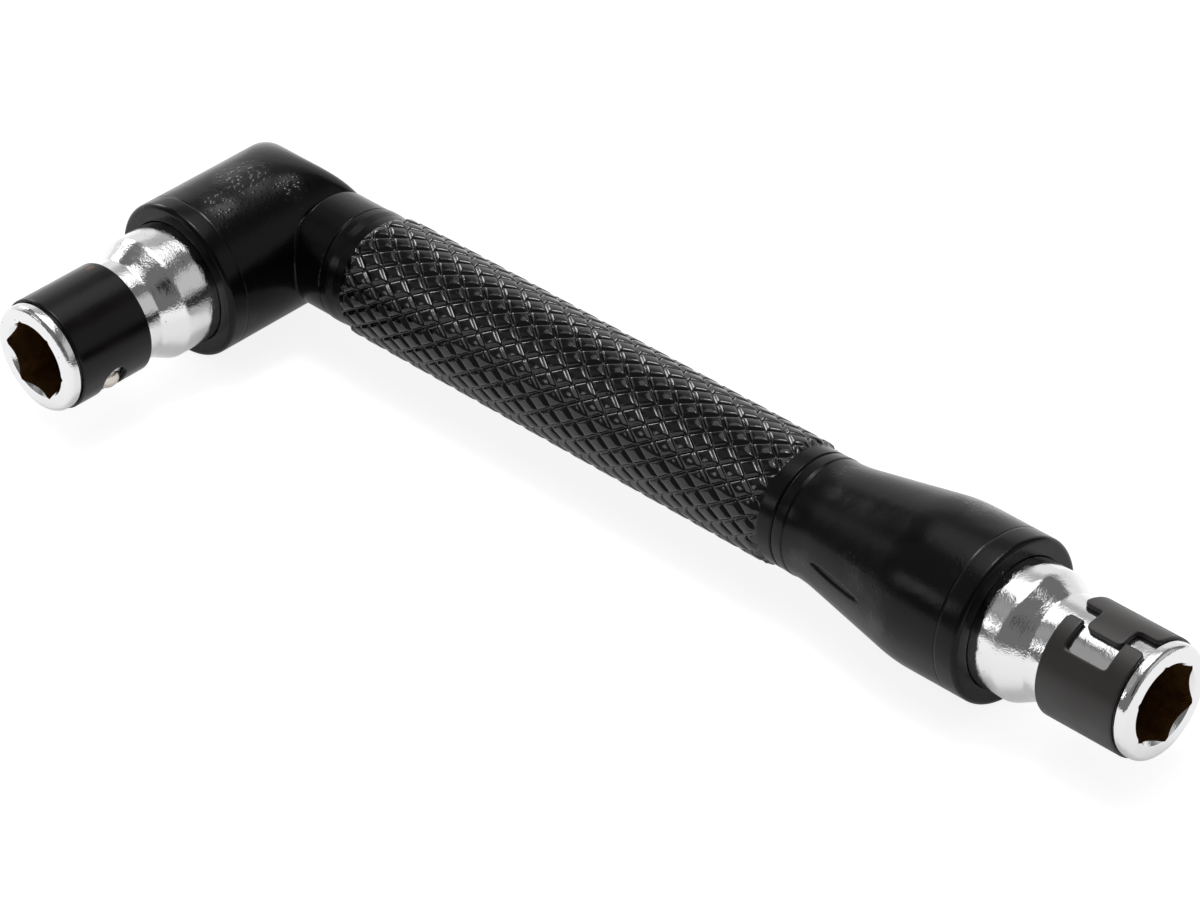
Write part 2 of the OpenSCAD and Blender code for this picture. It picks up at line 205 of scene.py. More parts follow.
def skin(field, xs, ys, zs):
    """Surface where a field is zero, as vertices and four-sided faces, found cell by cell on a grid."""
    values = field(*np.meshgrid(xs, ys, zs, indexing="ij"))
    inside = values < 0
    corners = [np.array(c) for c in np.ndindex(2, 2, 2)]
    shape = np.array(values.shape)
    piece = [tuple(slice(o, n - 1 + o) for o, n in zip(c, shape)) for c in corners]
    count = sum(inside[p].astype(int) for p in piece)
    cells = np.argwhere((count > 0) & (count < 8))
    number = np.full(shape - 1, -1)
    number[tuple(cells.T)] = np.arange(len(cells))
    total, hits = np.zeros((len(cells), 3)), np.zeros(len(cells))
    for i, a in enumerate(corners):
        for j, b in enumerate(corners):
            if j <= i or abs(a - b).sum() != 1:
                continue
            va, vb = values[tuple((cells + a).T)], values[tuple((cells + b).T)]
            cut = (va < 0) != (vb < 0)
            share = np.where(cut, va / np.where(cut, va - vb, 1), 0)[:, None]
            total += np.where(cut[:, None], cells + a + share * (b - a), 0)
            hits += cut
    spots = total / hits[:, None]
    grids = enumerate((xs, ys, zs))
    points = np.column_stack([np.interp(spots[:, i], np.arange(len(g)), g) for i, g in grids])
    faces = []
    for axis in range(3):
        one, two = (axis + 1) % 3, (axis + 2) % 3
        low, high = [slice(None)] * 3, [slice(None)] * 3
        low[axis], high[axis] = slice(0, -1), slice(1, None)
        for cutter in (low, high):
            cutter[one], cutter[two] = slice(1, -1), slice(1, -1)
        changes = inside[tuple(low)].astype(int) - inside[tuple(high)].astype(int)
        for sign in (1, -1):
            edge = np.argwhere(changes == sign)
            ring = []
            for du, dv in ((0, 0), (1, 0), (1, 1), (0, 1))[::sign]:
                cell = edge.copy()
                cell[:, one] += du
                cell[:, two] += dv
                ring.append(number[tuple(cell.T)])
            faces.append(np.column_stack(ring))
    return points, np.concatenate(faces)


def settle(field, points, rounds=3, reach=1e-3, least_slope=0.2, longest_step=0.05):
    """Moves points along the field's slope onto the surface itself."""
    for _ in range(rounds):
        value = field(*points.T)
        slope = np.column_stack([(field(*(points + step).T) - value) / reach for step in np.eye(3) * reach])
        move = np.clip(value / np.maximum((slope ** 2).sum(1), least_slope), -longest_step, longest_step)
        points = points - move[:, None] * slope
    return points


def rounded(corners, pieces=8, nearly_straight=1.56):
    """A profile of (along, radius, rounding) corners as points, each corner turned to its rounding."""
    spots = [np.array(c[:2], float) for c in corners]
    out = [spots[0]]
    for i in range(1, len(spots) - 1):
        before, here, after = spots[i - 1], spots[i], spots[i + 1]
        u = (before - here) / np.linalg.norm(before - here)
        v = (after - here) / np.linalg.norm(after - here)
        half = math.acos(np.clip(u @ v, -1, 1)) / 2
        radius = corners[i][2]
        if radius == 0 or half > nearly_straight:
            out.append(here)
            continue
        run = radius / math.tan(half)
        middle = here + (u + v) / np.linalg.norm(u + v) * radius / math.sin(half)
        start, end = here + u * run - middle, here + v * run - middle
        sweep = math.atan2(start[0] * end[1] - start[1] * end[0], start @ end)
        for step in range(pieces + 1):
            t = sweep * step / pieces
            out.append(middle + [start[0] * math.cos(t) - start[1] * math.sin(t),
                                 start[0] * math.sin(t) + start[1] * math.cos(t)])
    return out + [spots[-1]]


def turn(rings, around):
    """Points and faces of rings of (station, radius), each a number or one value per angle of around."""
    points, faces, last = [], [], None
    for station, radius in rings:
        if np.ndim(radius) == 0 and radius == 0:
            ring = [len(points)]
            points.append((0, 0, station))
        else:
            s, r = np.broadcast_to(station, around.shape), np.broadcast_to(radius, around.shape)
            ring = list(range(len(points), len(points) + len(around)))
            points.extend(zip(r * np.cos(around), r * np.sin(around), s))
        if last is not None:
            n = len(around)
            for i in range(n):
                k = (i + 1) % n
                loop = [last[i % len(last)], last[k % len(last)], ring[k % len(ring)], ring[i % len(ring)]]
                faces.append(list(dict.fromkeys(loop)))
        last = ring
    return np.array(points), faces


def spun(points, degrees):
    """Points turned about their own axis."""
    c, s = math.cos(math.radians(degrees)), math.sin(math.radians(degrees))
    x, y, z = points.T
    return np.column_stack([x * c - y * s, x * s + y * c, z])


# Where the measures of each bit socket start along its leg: a little outside the casting's end at the head
head_start, tail_start = -13.5, 85.5


def on_head_axis(points, start=head_start):
    """From (across, over, along) on the short leg's axis to the legs' own axes."""
    return np.column_stack([points[:, 0], start - points[:, 2], points[:, 1]])


def on_tail_axis(points, start=tail_start):
    """From (across, over, along) on the long leg's axis to the legs' own axes."""
    return np.column_stack([points[:, 2] + start, points[:, 0], points[:, 1]])


def as_piece(name, lumps):
    """A smooth mesh object from lumps of (points in millimetres, faces)."""
    points, faces = [], []
    for lump, its_faces in lumps:
        before = len(points)
        faces += [[corner + before for corner in face] for face in np.asarray(its_faces, object).tolist()]
        points += place(lump).tolist()
    mesh = bpy.data.meshes.new(name)
    mesh.from_pydata(points, [], faces)
    mesh.validate()
    mesh.polygons.foreach_set("use_smooth", [True] * len(mesh.polygons))
    thing = bpy.data.objects.new(name, mesh)
    bpy.context.scene.collection.objects.link(thing)
    return thing


def crease(thing, angle):
    """Marks edges that fold past an angle as sharp, after doubles are merged and normals point outwards."""
    work = bmesh.new()
    work.from_mesh(thing.data)
    bmesh.ops.remove_doubles(work, verts=work.verts, dist=1e-7)
    bmesh.ops.dissolve_degenerate(work, edges=work.edges, dist=1e-8)
    bmesh.ops.recalc_face_normals(work, faces=work.faces)
    for edge in work.edges:
        edge.smooth = edge.is_manifold and edge.calc_face_angle(0) < math.radians(angle)
    work.to_mesh(thing.data)
    work.free()


head_radius, leg_radius, head_face, collar_x = 7.25, 5.24, -12.6, 10.3
bore_radius, bore_end, recess_radius, recess_depth = 4.93, -2.5, 5.74, 1.2
# The back is turned over about an axis of its own, and the neck runs out into the long leg
back_radius, back_axis, back_edge = 8.0, -3.2, 1.1
neck_from, neck_edge, neck_fillet = 5.95, 0.4, 0.13
# The faced-off end is turned on its own, a hair proud of the bar, which dips and stops under it
turned_from, hair, bar_stop = 3.2, 0.004, 1.7
dip, dip_gap, dip_run = 0.12, 0.4, 0.1
end_radius = head_radius + hair


def head_form(x, y, z):
    """Field of the bar with its turned-over back and the start of the long leg."""
    under_end = dip * np.clip((head_face + turned_from - dip_gap - y) / dip_run, 0, 1)
    bar = np.hypot(x, z) - head_radius + under_end
    turned_back = np.hypot(np.maximum(y - back_axis, 0), z) - back_radius
    body = np.maximum(meet(bar, turned_back, back_edge), head_face + bar_stop - y)
    leg = np.maximum(meet(np.hypot(y, z) - leg_radius, neck_from - x, neck_edge), x - collar_x)
    bore = np.maximum(np.hypot(x, z) - bore_radius, y - bore_end)
    return np.maximum(join(body, leg, neck_fillet), -bore)


# The grid is finest where the neck leaves the head, and its cells are long on the straight part of the bar
grain = 0.13
grid_reach, grid_top, grid_back = 7.6, 7.61, 5.6
neck_zone, grid_along = 4.9, 10.7
xs = np.concatenate([
    np.arange(-grid_reach, neck_zone, grain), np.arange(neck_zone, grid_reach, grain * 0.6),
    np.arange(grid_reach, grid_along, grain)])
straight = [-11.1, -10.85, -10.3, -9.9, -9.65, -9.45, -9.2, -8.6, -7.8, -7.0, -6.2]
straight_end = -5.7
ys = np.concatenate([straight, np.arange(straight_end, grid_back, grain)])
zs = np.arange(-grid_reach, grid_top, grain)
points, faces = skin(head_form, xs, ys, zs)

head_line, line_half, line_depth, line_edge, line_floor = 1.8, 0.14, 0.03, 0.08, 0.05
face_edge, recess_edge = 0.45, 0.07
full_turn = np.radians(np.arange(0, 360, 1.5))


def faced_end(face, line, radius):
    """Corners of a faced-off end: its scribed line, its rounded edge and the recess round the bore."""
    return [
        (face - line - line_half, radius, line_edge), (face - line, radius - line_depth, line_floor),
        (face - line + line_half, radius, line_edge), (face, radius, face_edge),
        (face, recess_radius, recess_edge), (face - recess_depth, recess_radius, 0),
        (face - recess_depth, bore_radius, 0)]


end_points, end_faces = turn(rounded([
    (-turned_from, bore_radius, 0), (-turned_from, end_radius, 0), *faced_end(0, head_line, end_radius),
    (-turned_from, bore_radius, 0)]), full_turn)
handle_head = as_piece("handle_head", [
    (settle(head_form, points), faces), (on_head_axis(end_points, head_face), end_faces)])
crease(handle_head, 60)

# Black spray paint on the zinc: nearly black, satin where it is thin and glossy where it has pooled in the
# knurl. It has fine orange peel everywhere, pimples of casting skin in a few places, slow flow marks and
# pale dust. Each pattern's scale is its cells to the millimetre
paints = {}
pimpled_spots = (((0.5, -4.6, 7.2), 3.4), ((1.9, -8.6, 7.0), 2.2), ((3.5, -2.0, 6.0), 2.0))
peel_height, pimple_height, flow_height = 0.008 / metre, 0.06 / metre, 0.03 / metre
for name, low, high, level in (("satin", 0.18, 0.27, 0.17), ("pooled", 0.06, 0.12, 0.44)):
    black_paint = bpy.data.materials.new("black spray paint on die-cast zinc, " + name)
    black_paint.use_nodes = True
    tree = black_paint.node_tree
    tree.nodes.clear()
    at = add(tree, "ShaderNodeTexCoord").outputs["Object"]
    peel = add(tree, "ShaderNodeTexNoise", {
        "Vector": at, "Scale": 3.6 * metre, "Detail": 3.0, "Roughness": 0.6}).outputs[0]
    flow = add(tree, "ShaderNodeTexNoise", {"Vector": at, "Scale": 0.4 * metre, "Detail": 2.0}).outputs[0]
    patches = add(tree, "ShaderNodeTexNoise", {
        "Vector": at, "Scale": 0.17 * metre, "Detail": 3.0}).outputs[0]
    coarse = add(tree, "ShaderNodeMapRange", {0: patches, 1: 0.56, 2: 0.74, 3: 0.0, 4: 0.5}).outputs[0]
    for spot, reach in pimpled_spots:
        away = add(tree, "ShaderNodeVectorMath", {0: at, 1: place(spot).tolist()}, operation="DISTANCE")
        near = add(tree, "ShaderNodeMapRange", {
            0: away.outputs["Value"], 1: reach / metre, 2: 0.3 * reach / metre, 3: 0.0, 4: 1.0}).outputs[0]
        coarse = add(tree, "ShaderNodeMath", {0: coarse, 1: near}, operation="MAXIMUM").outputs[0]
    pimples = add(tree, "ShaderNodeTexVoronoi", {"Vector": at, "Scale": 2.4 * metre}).outputs["Distance"]
    raised = add(tree, "ShaderNodeMapRange", {0: pimples, 1: 0.42, 2: 0.0, 3: 0.0, 4: 1.0},
                 interpolation_type="SMOOTHSTEP").outputs[0]
    casting_skin = add(tree, "ShaderNodeMath", {0: raised, 1: coarse}, operation="MULTIPLY").outputs[0]
    cells = add(tree, "ShaderNodeTexVoronoi", {"Vector": at, "Scale": 0.8 * metre}).outputs
    speck = add(tree, "ShaderNodeMapRange", {
        0: cells["Distance"], 1: 0.035, 2: 0.06, 3: 1.0, 4: 0.0}).outputs[0]
    chance = add(tree, "ShaderNodeSeparateColor", {0: cells["Color"]}).outputs[0]
    picked = add(tree, "ShaderNodeMath", {0: chance, 1: 0.84}, operation="GREATER_THAN").outputs[0]
    dusty = add(tree, "ShaderNodeMath", {0: speck, 1: picked}, operation="MULTIPLY").outputs[0]
    tint = add(tree, "ShaderNodeMix", {0: dusty, 6: linear("#060607"), 7: linear("#5c5b59")},
               data_type="RGBA").outputs[2]
    satin = add(tree, "ShaderNodeMapRange", {0: patches, 1: 0.3, 2: 0.7, 3: low, 4: high}).outputs[0]
    wetter = add(tree, "ShaderNodeMapRange", {0: coarse, 1: 0.0, 2: 1.0, 3: 1.0, 4: 0.35}).outputs[0]
    gloss = add(tree, "ShaderNodeMath", {0: satin, 1: wetter}, operation="MULTIPLY").outputs[0]
    shine = add(tree, "ShaderNodeMapRange", {0: coarse, 1: 0.2, 2: 0.9, 3: level, 4: 0.5}).outputs[0]
    bump = None
    for rough, distance in ((peel, peel_height), (casting_skin, pimple_height), (flow, flow_height)):
        links = {"Height": rough, "Distance": distance, "Strength": 1.0}
        if bump is not None:
            links["Normal"] = bump
        bump = add(tree, "ShaderNodeBump", links).outputs[0]
    shader = add(tree, "ShaderNodeBsdfPrincipled", {
        "Base Color": tint, "Roughness": gloss, "IOR": 1.5, "Specular IOR Level": shine, "Normal": bump})
    add(tree, "ShaderNodeOutputMaterial", {"Surface": shader.outputs[0]})
    paints[name] = black_paint
handle_head.data.materials.append(paints["satin"])
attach(handle_head, "tool")
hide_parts("handle")


# Knurled grip
# The middle of the same casting. Diamonds with flat tops stand between two crossing families of narrow
# grooves, eighteen round the leg, and run out into a smooth band at each end.
grip_from, grip_to, groove_x, groove_half, groove_edge = 12.9, 62.5, 64.0, 0.15, 0.1
neck_groove, tail_groove, under_knurl = 0.1, 0.12, 0.2
lip_to, lip_foot, lip_edge = 0.9, 1.7, 0.4
lip_radius = leg_radius + 0.07
before_points, before_faces = turn(rounded([
    (collar_x, 0, 0), (collar_x, leg_radius - neck_groove, 0.05),
    (collar_x + groove_half, lip_radius, groove_edge), (collar_x + lip_to, lip_radius, lip_edge),
    (collar_x + lip_foot, leg_radius, lip_edge), (grip_from + under_knurl, leg_radius, 0),
    (grip_from + under_knurl, 0, 0)]), full_turn)
after_points, after_faces = turn(rounded([
    (grip_to - under_knurl, 0, 0), (grip_to - under_knurl, leg_radius, 0),
    (groove_x - groove_half, leg_radius, groove_edge), (groove_x, leg_radius - tail_groove, 0),
    (groove_x, 0, 0)]), full_turn)
grip_bands = as_piece("grip_bands", [
    (on_tail_axis(before_points, 0), before_faces), (on_tail_axis(after_points, 0), after_faces)])

knurl = bpy.data.node_groups.new("diamond knurl", "GeometryNodeTree")
identifiers = {}
for name, kind, value in (
    ("Diamonds around", "NodeSocketInt", 18),
    ("Half rows", "NodeSocketInt", 37),
    ("First row", "NodeSocketFloat", 12.297 / metre),
    ("Row pitch", "NodeSocketFloat", 1.403 / metre),
    ("First turn", "NodeSocketFloat", math.radians(7.5)),
    ("Band radius", "NodeSocketFloat", leg_radius / metre),
    ("Rise", "NodeSocketFloat", 0.31 / metre),
    ("From", "NodeSocketFloat", grip_from / metre),
    ("To", "NodeSocketFloat", grip_to / metre),
    ("Run-out", "NodeSocketFloat", 0.5 / metre),
    ("Paint", "NodeSocketMaterial", None),
):
    socket = knurl.interface.new_socket(name, in_out="INPUT", socket_type=kind)
    identifiers[name] = socket.identifier
    if value is not None:
        socket.default_value = value
knurl.interface.new_socket("Geometry", in_out="OUTPUT", socket_type="NodeSocketGeometry")
sizes = add(knurl, "NodeGroupInput").outputs
# One diamond as a square patch, its grid lines drawn together towards the shoulder. Its height has a flat
# top, a round shoulder and a steep wall down to the groove
patch_lines = 11
spacing_shares = ((0, 0), (0.2, 0.5), (0.4, 0.66), (0.6, 0.84), (0.8, 0.965), (1, 1))
height_shares = ((0, 1), (0.5, 1.0), (0.66, 0.9), (0.84, 0.52), (0.965, 0.0), (1, 0))
patch = add(knurl, "GeometryNodeMeshGrid", {
    "Size X": 2.0, "Size Y": 2.0, "Vertices X": patch_lines, "Vertices Y": patch_lines})
spot = add(knurl, "ShaderNodeSeparateXYZ", {0: add(knurl, "GeometryNodeInputPosition").outputs[0]})
spacings, spaced = [], []
for side in (0, 1):
    size = add(knurl, "ShaderNodeMath", {0: spot.outputs[side]}, operation="ABSOLUTE").outputs[0]
    sign = add(knurl, "ShaderNodeMath", {0: spot.outputs[side]}, operation="SIGN").outputs[0]
    spacings.append(add(knurl, "ShaderNodeFloatCurve", {"Value": size}))
    spaced.append(add(knurl, "ShaderNodeMath", {0: spacings[side].outputs[0], 1: sign},
                      operation="MULTIPLY").outputs[0])
outer = add(knurl, "ShaderNodeMath", {0: spacings[0].outputs[0], 1: spacings[1].outputs[0]},
            operation="MAXIMUM").outputs[0]
shoulder = add(knurl, "ShaderNodeFloatCurve", {"Value": outer})
for curve, shares in (
    (spacings[0], spacing_shares), (spacings[1], spacing_shares), (shoulder, height_shares),
):
    line = curve.mapping.curves[0]
    line.points[0].location, line.points[1].location = shares[0], shares[-1]
    for share in shares[1:-1]:
        line.points.new(*share)
    for point in line.points:
        point.handle_type = "VECTOR"
    curve.mapping.update()
half_pitch = add(knurl, "ShaderNodeMath", {0: sizes["Row pitch"], 1: 2.0}, operation="DIVIDE").outputs[0]
column = add(knurl, "ShaderNodeMath", {0: math.pi, 1: sizes["Diamonds around"]},
             operation="DIVIDE").outputs[0]
half_column = add(knurl, "ShaderNodeMath", {0: column, 1: 2.0}, operation="DIVIDE").outputs[0]
both = add(knurl, "ShaderNodeMath", {0: spaced[0], 1: spaced[1]}, operation="ADD").outputs[0]
along = add(knurl, "ShaderNodeMath", {0: both, 1: half_pitch}, operation="MULTIPLY").outputs[0]
apart = add(knurl, "ShaderNodeMath", {0: spaced[0], 1: spaced[1]}, operation="SUBTRACT").outputs[0]
across = add(knurl, "ShaderNodeMath", {0: apart, 1: half_column}, operation="MULTIPLY").outputs[0]
flat = add(knurl, "ShaderNodeCombineXYZ", {0: along, 1: across, 2: shoulder.outputs[0]}).outputs[0]
diamond = add(knurl, "GeometryNodeSetPosition", {"Geometry": patch.outputs[0], "Position": flat}).outputs[0]
# The diamonds laid out unrolled: along the leg in metres, round it in radians
total = add(knurl, "ShaderNodeMath", {0: sizes["Half rows"], 1: sizes["Diamonds around"]},
            operation="MULTIPLY").outputs[0]
number = add(knurl, "GeometryNodeInputIndex").outputs[0]
counted = add(knurl, "ShaderNodeMath", {0: number, 1: sizes["Diamonds around"]},
              operation="DIVIDE").outputs[0]
row = add(knurl, "ShaderNodeMath", {0: counted}, operation="FLOOR").outputs[0]
in_row = add(knurl, "ShaderNodeMath", {0: number, 1: sizes["Diamonds around"]},
             operation="FLOORED_MODULO").outputs[0]
odd = add(knurl, "ShaderNodeMath", {0: row, 1: 2.0}, operation="FLOORED_MODULO").outputs[0]
step = add(knurl, "ShaderNodeMath", {0: in_row, 1: 2.0, 2: odd}, operation="MULTIPLY_ADD").outputs[0]
lattice_x = add(knurl, "ShaderNodeMath", {0: row, 1: sizes["Row pitch"], 2: sizes["First row"]},
                operation="MULTIPLY_ADD").outputs[0]
lattice_turn = add(knurl, "ShaderNodeMath", {0: step, 1: column, 2: sizes["First turn"]},
                   operation="MULTIPLY_ADD").outputs[0]
lattice_spot = add(knurl, "ShaderNodeCombineXYZ", {0: lattice_x, 1: lattice_turn}).outputs[0]
lattice = add(knurl, "GeometryNodePoints", {"Count": total, "Position": lattice_spot}).outputs[0]
copies = add(knurl, "GeometryNodeInstanceOnPoints", {"Points": lattice, "Instance": diamond}).outputs[0]
laid = add(knurl, "GeometryNodeRealizeInstances", {0: copies}).outputs[0]
# Rolled round the leg, and faded out where the grip ends
weld, sliver = 0.002 / metre, 0.0002 / metre
now = add(knurl, "ShaderNodeSeparateXYZ", {0: add(knurl, "GeometryNodeInputPosition").outputs[0]}).outputs
held = add(knurl, "ShaderNodeClamp", {0: now["X"], 1: sizes["From"], 2: sizes["To"]}).outputs[0]
share = now["Z"]
for end, operation in (("From", "ADD"), ("To", "SUBTRACT")):
    full = add(knurl, "ShaderNodeMath", {0: sizes[end], 1: sizes["Run-out"]}, operation=operation)
    fade = add(knurl, "ShaderNodeMapRange", {0: held, 1: sizes[end], 2: full.outputs[0]},
               interpolation_type="SMOOTHSTEP").outputs[0]
    share = add(knurl, "ShaderNodeMath", {0: share, 1: fade}, operation="MULTIPLY").outputs[0]
radius = add(knurl, "ShaderNodeMath", {0: share, 1: sizes["Rise"], 2: sizes["Band radius"]},
             operation="MULTIPLY_ADD").outputs[0]
cosine = add(knurl, "ShaderNodeMath", {0: now["Y"]}, operation="COSINE").outputs[0]
sine = add(knurl, "ShaderNodeMath", {0: now["Y"]}, operation="SINE").outputs[0]
wrapped_y = add(knurl, "ShaderNodeMath", {0: radius, 1: cosine}, operation="MULTIPLY").outputs[0]
wrapped_z = add(knurl, "ShaderNodeMath", {0: radius, 1: sine}, operation="MULTIPLY").outputs[0]
round_leg = add(knurl, "ShaderNodeCombineXYZ", {0: held, 1: wrapped_y, 2: wrapped_z}).outputs[0]
wrapped = add(knurl, "GeometryNodeSetPosition", {"Geometry": laid, "Position": round_leg}).outputs[0]
sewn = add(knurl, "GeometryNodeMergeByDistance", {"Geometry": wrapped, "Distance": weld}).outputs[0]
painted = add(knurl, "GeometryNodeSetMaterial", {"Geometry": sewn, "Material": sizes["Paint"]}).outputs[0]
add(knurl, "NodeGroupOutput", {0: painted})

# The diamonds as a plain mesh of pooled paint, joined with the smooth bands of satin paint
blank = bpy.data.objects.new("blank", bpy.data.meshes.new("blank"))
bpy.context.scene.collection.objects.link(blank)
cutting = blank.modifiers.new("knurl", "NODES")
cutting.node_group = knurl
cutting[identifiers["Paint"]] = paints["pooled"]
knurled = bpy.data.meshes.new_from_object(blank.evaluated_get(bpy.context.evaluated_depsgraph_get()))
bpy.data.objects.remove(blank)
knurled.transform(Matrix.Translation(place([0, 0, 0])))
work = bmesh.new()
work.from_mesh(knurled)
bmesh.ops.dissolve_degenerate(work, edges=work.edges, dist=sliver)
for face in work.faces:
    face.material_index = 0
    face.smooth = True
diamond_faces = len(work.faces)
work.from_mesh(grip_bands.data)
bpy.data.objects.remove(grip_bands)
work.faces.ensure_lookup_table()
for face in work.faces[diamond_faces:]:
    face.material_index = 1
knurled.materials.clear()
knurled.materials.append(paints["pooled"])
knurled.materials.append(paints["satin"])
work.to_mesh(knurled)
work.free()
handle_grip = bpy.data.objects.new("handle_grip", knurled)
bpy.context.scene.collection.objects.link(handle_grip)
crease(handle_grip, 60)
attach(handle_grip, "tool")
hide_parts("handle")


# Tail of the handle
# The other end of the casting flares from the smooth band to a housing as wide as the head. Its end is
# faced off and bored for the second bit socket, and carries a scribed line like the head's.
tail_face, tail_line, tail_bore = tail_start, 2.1, 10.95
step_from, step_to, step_edge = 65.1, 65.3, 0.2
step_up, step_down = 0.05, 0.02
flare_from, flare_to, flare_edge = 66.7, 77.7, 15
flare_start, flare_crown = 0.01, 0.02
tail_profile = rounded([
    (groove_x, 0, 0), (groove_x, leg_radius - tail_groove, 0),
    (groove_x + groove_half, leg_radius, groove_edge), (step_from, leg_radius + step_up, step_edge),
    (step_to, leg_radius - step_down, step_edge), (flare_from, leg_radius + flare_start, flare_edge),
    (flare_to, head_radius + flare_crown, flare_edge), *faced_end(tail_face, tail_line, head_radius),
    (tail_face - tail_bore, bore_radius, 0), (tail_face - tail_bore, 0, 0)])
# Rings close together along the flare, where the casting has a fold mark
fine_from, fine_to, fine_step = 66, 77, 0.2
finer = []
for (s0, r0), (s1, r1) in zip(tail_profile, tail_profile[1:]):
    steps = max(1, math.ceil((s1 - s0) / fine_step)) if fine_from < s0 < fine_to else 1
    finer += [(s0 + (s1 - s0) * k / steps, r0 + (r1 - r0) * k / steps) for k in range(steps)]
points, faces = turn(finer + [tail_profile[-1]], np.radians(np.arange(0, 360, 1.0)))
# The fold: a lens-shaped crease in the side of the flare, a little aslant, in the outer skin alone
fold_from, fold_to, fold_turn, fold_slant = 68.9, 74.8, math.radians(176), 0.03
fold_width, fold_depth, outer_skin, nearly_none = 0.34, 0.2, 0.2, 1e-6
share = (points[:, 2] - fold_from) / (fold_to - fold_from)
lens = np.sqrt(np.clip(4 * share * (1 - share), 0, 1)) * fold_width
bearing = np.arctan2(points[:, 1], points[:, 0]) % (2 * math.pi)
across = (bearing - fold_turn - fold_slant * (share - 0.5)) * leg_radius
off_axis = np.hypot(points[:, 0], points[:, 1])
dent = fold_depth * np.clip(1 - (across / np.maximum(lens, nearly_none)) ** 2, 0, 1)
dent *= off_axis > leg_radius - outer_skin
points[:, :2] *= (1 - dent / np.maximum(off_axis, nearly_none))[:, None]
handle_tail = as_piece("handle_tail", [(on_tail_axis(points, 0), faces)])
crease(handle_tail, 40)
handle_tail.data.materials.append(paints["satin"])
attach(handle_tail, "tool")
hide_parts("handle")


# Bit sockets
# Turned steel with a bright chrome plate, pressed into both ends of the casting: a round collar, a
# waist, a seat for the spring band and a rounded front rim round the broached hexagon.
shank_end, shank_radius = -10.9, 4.9
collar_from, collar_to, collar_radius = -1.15, 2.7, 5.69
waist_at, waist_radius = 4.1, 4.95
seat_from, seat_to, seat_radius = 4.75, 14.15, 4.64
front, rim_radius, mouth_radius = 15.2, 4.95, 3.52
socket_outside = rounded([
    (shank_end, 0, 0), (shank_end, shank_radius, 0.2), (collar_from, shank_radius, 0),
    (collar_from, collar_radius, 0.1), (collar_to, collar_radius, 1.2), (waist_at, waist_radius, 1.0),
    (seat_from, seat_radius, 0.8), (seat_to, seat_radius, 0.05), (seat_to, rim_radius, 0.12),
    (front, rim_radius, 0.5), (front, mouth_radius, 0)], 10)
across_flats, hexagon_middle, hexagon_end = 6.4, 8.0, 2.7
drill_radius, drill_end, drill_tip = 3.0, 1.7, 0.2
around = np.radians(np.arange(0, 360, 1.25))
to_flat = across_flats / 2 / np.cos((around % (math.pi / 3)) - math.pi / 6)
mouth = np.maximum(mouth_radius, to_flat)
hole = [(front - np.maximum(mouth_radius - to_flat, 0), to_flat), (hexagon_middle, to_flat),
        (hexagon_end, to_flat), (hexagon_end, drill_radius), (drill_end, drill_radius), (drill_tip, 0)]
rings = socket_outside[:-1] + [(front, mouth)] + hole
browned_rings = 5
# Bright chrome plate: a mirror with a faint ripple, patches of fine pocks and haze, and a few dark pits
chrome = bpy.data.materials.new("bright chrome plate on turned steel")
chrome.use_nodes = True
tree = chrome.node_tree
tree.nodes.clear()
at = add(tree, "ShaderNodeTexCoord").outputs["Object"]
ripple = add(tree, "ShaderNodeTexNoise", {
    "Vector": at, "Scale": 0.8 * metre, "Detail": 4.0, "Roughness": 0.6}).outputs[0]
grit = add(tree, "ShaderNodeTexNoise", {"Vector": at, "Scale": 7.0 * metre, "Detail": 2.0}).outputs[0]
cloud = add(tree, "ShaderNodeTexNoise", {"Vector": at, "Scale": 0.5 * metre, "Detail": 3.0}).outputs[0]
haze = add(tree, "ShaderNodeMapRange", {0: cloud, 1: 0.4, 2: 0.7, 3: 0.03, 4: 0.09}).outputs[0]
pocked = add(tree, "ShaderNodeMapRange", {0: cloud, 1: 0.38, 2: 0.6, 3: 0.3, 4: 1.0}).outputs[0]
pocks = add(tree, "ShaderNodeMath", {0: grit, 1: pocked}, operation="MULTIPLY").outputs[0]
cells = add(tree, "ShaderNodeTexVoronoi", {"Vector": at, "Scale": 1.6 * metre}).outputs
pit = add(tree, "ShaderNodeMapRange", {0: cells["Distance"], 1: 0.06, 2: 0.12, 3: 1.0, 4: 0.0}).outputs[0]
chance = add(tree, "ShaderNodeSeparateColor", {0: cells["Color"]}).outputs[0]
picked = add(tree, "ShaderNodeMath", {0: chance, 1: 0.8}, operation="GREATER_THAN").outputs[0]
pitted = add(tree, "ShaderNodeMath", {0: pit, 1: picked}, operation="MULTIPLY").outputs[0]
plate = add(tree, "ShaderNodeMix", {0: pitted, 6: linear("#dededf"), 7: linear("#77736d")},
            data_type="RGBA").outputs[2]
waves = add(tree, "ShaderNodeBump", {
    "Height": ripple, "Distance": 0.03 / metre, "Strength": 1.0}).outputs[0]
bump = add(tree, "ShaderNodeBump", {
    "Height": pocks, "Distance": 0.02 / metre, "Strength": 1.0, "Normal": waves}).outputs[0]
shader = add(tree, "ShaderNodeBsdfPrincipled", {
    "Base Color": plate, "Metallic": 1.0, "Roughness": haze, "Normal": bump})
add(tree, "ShaderNodeOutputMaterial", {"Surface": shader.outputs[0]})
